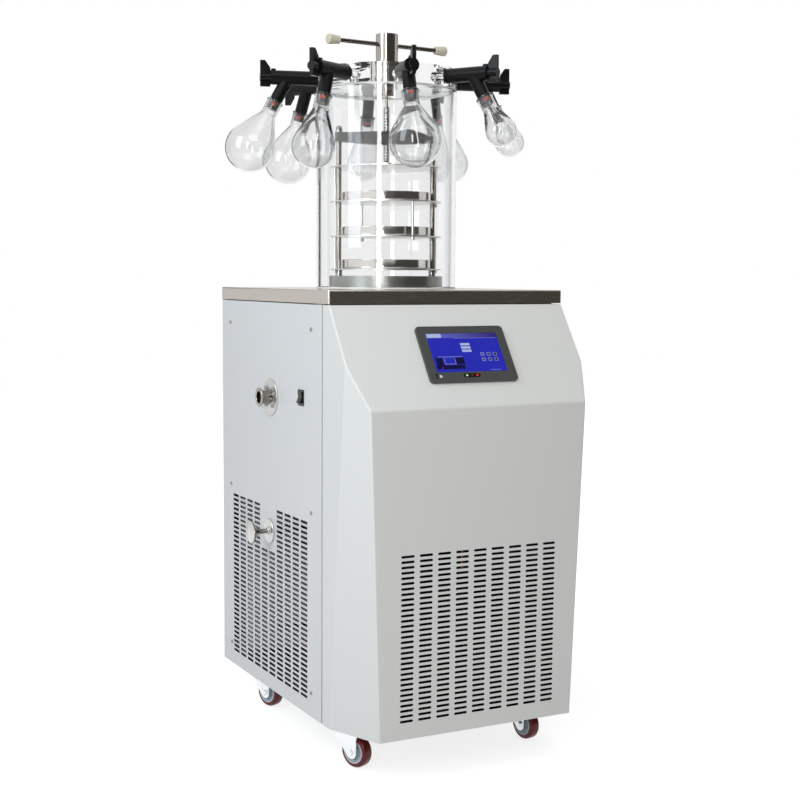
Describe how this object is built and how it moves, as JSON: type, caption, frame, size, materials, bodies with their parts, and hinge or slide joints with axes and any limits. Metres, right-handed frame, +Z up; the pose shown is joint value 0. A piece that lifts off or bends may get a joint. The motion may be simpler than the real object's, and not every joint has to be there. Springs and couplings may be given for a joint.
{
  "type": "freeze dryer",
  "caption": "Floor-standing laboratory freeze dryer: wheeled refrigeration cabinet with touch screen, clear chamber with pressed shelves, and a lid with valved flask ports.",
  "frame": {"origin": "on the floor, under the middle of the bounding box", "axes": "+Z up, the front with the touch screen faces -Y, +X to the right seen from the front"},
  "size_m": [0.6326, 0.7284, 1.492],
  "materials": {
    "frame_steel": "zinc-plated sheet and tube",
    "cover_paint": "satin powder coat, warm light grey",
    "panel_paint": "satin powder coat, cool light grey",
    "bright_steel": "turned and polished stainless steel",
    "worktop_steel": "satin stainless steel",
    "tray_steel": "pressed stainless steel",
    "bar_steel": "darkened steel",
    "port_steel": "polished stainless steel",
    "acrylic": "clear polished acrylic",
    "flask_glass": "clear blown glass with a ground neck",
    "silicone": "white silicone",
    "valve_rubber": "black moulded rubber",
    "foam": "foamed insulation",
    "black_paint": "gloss black paint",
    "fin_aluminium": "bare finned aluminium",
    "fan_plastic": "moulded plastic",
    "black_plastic": "gloss black moulding",
    "bezel_plastic": "fine textured dark moulding",
    "screen": "lit display under gloss cover",
    "copper": "bare copper tube",
    "zinc": "zinc-plated pressed steel",
    "ivory_plastic": "ivory moulded plastic",
    "caster_rubber": "red polyurethane tread"
  },
  "bodies": {
    "root": {"base_frame": "frame_steel", "front_cover": "cover_paint", "left_panel": "panel_paint", "right_panel": "panel_paint", "rear_panel": "panel_paint", "fasteners": "bright_steel", "worktop": "worktop_steel", "trap_collar": "bright_steel", "chamber_tube": "acrylic", "chamber_seals": "silicone", "lid": "acrylic", "lid_bush": "bright_steel", "valve_bodies": "valve_rubber", "flasks": "flask_glass", "posts": "bright_steel", "crossbar": "bar_steel", "shelf_3": "bright_steel", "tray_3": "tray_steel", "cold_trap": "bright_steel", "trap_insulation": "foam", "compressor": "black_paint", "condenser": "fin_aluminium", "fan_mount": "black_paint", "electrical_box": "frame_steel", "power_inlet": "black_plastic", "vacuum_port": "port_steel", "drain_fitting": "port_steel", "pipework": "copper", "switch_housing": "black_plastic", "hmi_bezel": "bezel_plastic", "hmi_glass": "screen", "caster_plates": "zinc"},
    "handle": {"handle_hub": "bright_steel", "t_bar": "bright_steel", "bar_caps": "ivory_plastic"},
    "screw": {"press_screw": "bar_steel"},
    "press": {"press_plate": "bright_steel"},
    "upper_shelf": {"shelf_1": "bright_steel", "tray_1": "tray_steel"},
    "middle_shelf": {"shelf_2": "bright_steel", "tray_2": "tray_steel"},
    "rocker": {"switch_rocker": "black_plastic"},
    "drain_handle": {"drain_knob": "port_steel"},
    "fan": {"fan_blades": "fan_plastic"},
    "valve_1": {"knob_1": "valve_rubber"},
    "valve_2": {"knob_2": "valve_rubber"},
    "valve_3": {"knob_3": "valve_rubber"},
    "valve_4": {"knob_4": "valve_rubber"},
    "valve_5": {"knob_5": "valve_rubber"},
    "valve_6": {"knob_6": "valve_rubber"},
    "valve_7": {"knob_7": "valve_rubber"},
    "valve_8": {"knob_8": "valve_rubber"},
    "caster_fl": {"fork_fl": "zinc"},
    "roller_fl": {"wheel_fl": "caster_rubber"},
    "caster_fr": {"fork_fr": "zinc"},
    "roller_fr": {"wheel_fr": "caster_rubber"},
    "caster_rl": {"fork_rl": "zinc"},
    "roller_rl": {"wheel_rl": "caster_rubber"},
    "caster_rr": {"fork_rr": "zinc"},
    "roller_rr": {"wheel_rr": "caster_rubber"}
  },
  "joints": [
    {"name": "handle_turn", "type": "hinge", "parent": "root", "child": "handle", "pos_m": [0.01906, 0.05076, 1.47], "axis": [0, 0, -1], "range_deg": [0, 2160]},
    {"name": "press_slide", "type": "slide", "parent": "root", "child": "press", "axis": [0, 0, -1], "range_m": [0, 0.036]},
    {"name": "screw_turn", "type": "hinge", "parent": "press", "child": "screw", "pos_m": [0.01906, 0.05076, 1.252], "axis": [0, 0, -1], "range_deg": [0, 2160]},
    {"name": "upper_shelf_slide", "type": "slide", "parent": "root", "child": "upper_shelf", "axis": [0, 0, -1], "range_m": [0, 0.024]},
    {"name": "middle_shelf_slide", "type": "slide", "parent": "root", "child": "middle_shelf", "axis": [0, 0, -1], "range_m": [0, 0.012]},
    {"name": "valve_turn_1", "type": "hinge", "parent": "root", "child": "valve_1", "pos_m": [-0.04733, -0.19026, 1.394], "axis": [-0.2656, -0.9641, 0], "range_deg": [0, 180]},
    {"name": "valve_turn_2", "type": "hinge", "parent": "root", "child": "valve_2", "pos_m": [0.14255, -0.16662, 1.394], "axis": [0.4939, -0.8695, 0], "range_deg": [0, 180]},
    {"name": "valve_turn_3", "type": "hinge", "parent": "root", "child": "valve_3", "pos_m": [0.26009, -0.01563, 1.394], "axis": [0.9641, -0.2656, 0], "range_deg": [0, 180]},
    {"name": "valve_turn_4", "type": "hinge", "parent": "root", "child": "valve_4", "pos_m": [0.23644, 0.17424, 1.394], "axis": [0.8695, 0.4939, 0], "range_deg": [0, 180]},
    {"name": "valve_turn_5", "type": "hinge", "parent": "root", "child": "valve_5", "pos_m": [0.08545, 0.29178, 1.394], "axis": [0.2656, 0.9641, 0], "range_deg": [0, 180]},
    {"name": "valve_turn_6", "type": "hinge", "parent": "root", "child": "valve_6", "pos_m": [-0.10442, 0.26813, 1.394], "axis": [-0.4939, 0.8695, 0], "range_deg": [-180, 0]},
    {"name": "valve_turn_7", "type": "hinge", "parent": "root", "child": "valve_7", "pos_m": [-0.22196, 0.11715, 1.394], "axis": [-0.9641, 0.2656, 0], "range_deg": [0, 180]},
    {"name": "valve_turn_8", "type": "hinge", "parent": "root", "child": "valve_8", "pos_m": [-0.19831, -0.07273, 1.394], "axis": [-0.8695, -0.4939, 0], "range_deg": [0, 180]},
    {"name": "swivel_fl", "type": "hinge", "parent": "root", "child": "caster_fl", "pos_m": [-0.18394, -0.17524, 0.08], "axis": [0, 0, 1], "continuous": true},
    {"name": "roll_fl", "type": "hinge", "parent": "caster_fl", "child": "roller_fl", "pos_m": [-0.17102, -0.20723, 0.03275], "axis": [0.9272, 0.3746, 0], "continuous": true},
    {"name": "swivel_fr", "type": "hinge", "parent": "root", "child": "caster_fr", "pos_m": [0.22206, -0.17524, 0.08], "axis": [0, 0, 1], "continuous": true},
    {"name": "roll_fr", "type": "hinge", "parent": "caster_fr", "child": "roller_fr", "pos_m": [0.22686, -0.20941, 0.03275], "axis": [0.9903, 0.1392, 0], "continuous": true},
    {"name": "swivel_rl", "type": "hinge", "parent": "root", "child": "caster_rl", "pos_m": [-0.18394, 0.27676, 0.08], "axis": [0, 0, 1], "continuous": true},
    {"name": "roll_rl", "type": "hinge", "parent": "caster_rl", "child": "roller_rl", "pos_m": [-0.17271, 0.24414, 0.03275], "axis": [0.9455, 0.3256, 0], "continuous": true},
    {"name": "swivel_rr", "type": "hinge", "parent": "root", "child": "caster_rr", "pos_m": [0.22206, 0.27676, 0.08], "axis": [0, 0, 1], "continuous": true},
    {"name": "roll_rr", "type": "hinge", "parent": "caster_rr", "child": "roller_rr", "pos_m": [0.23099, 0.24343, 0.03275], "axis": [0.9659, 0.2588, 0], "continuous": true},
    {"name": "switch_rock", "type": "hinge", "parent": "root", "child": "rocker", "pos_m": [-0.24594, -0.10224, 0.736], "axis": [0, -1, 0], "range_deg": [0, 16]},
    {"name": "drain_turn", "type": "hinge", "parent": "root", "child": "drain_handle", "pos_m": [-0.26594, 0.06576, 0.439], "axis": [-1, 0, 0], "range_deg": [0, 270]},
    {"name": "fan_spin", "type": "hinge", "parent": "root", "child": "fan", "pos_m": [0.01906, -0.24924, 0.249], "axis": [0, -1, 0], "continuous": true}
  ],
  "couplings": [
    {"joint": "press_slide", "follows": "handle_turn", "m_per_rad": 0.00095492},
    {"joint": "screw_turn", "follows": "handle_turn", "ratio": 1},
    {"joint": "upper_shelf_slide", "follows": "handle_turn", "m_per_rad": 0.00063661},
    {"joint": "middle_shelf_slide", "follows": "handle_turn", "m_per_rad": 0.00031831}
  ]
}
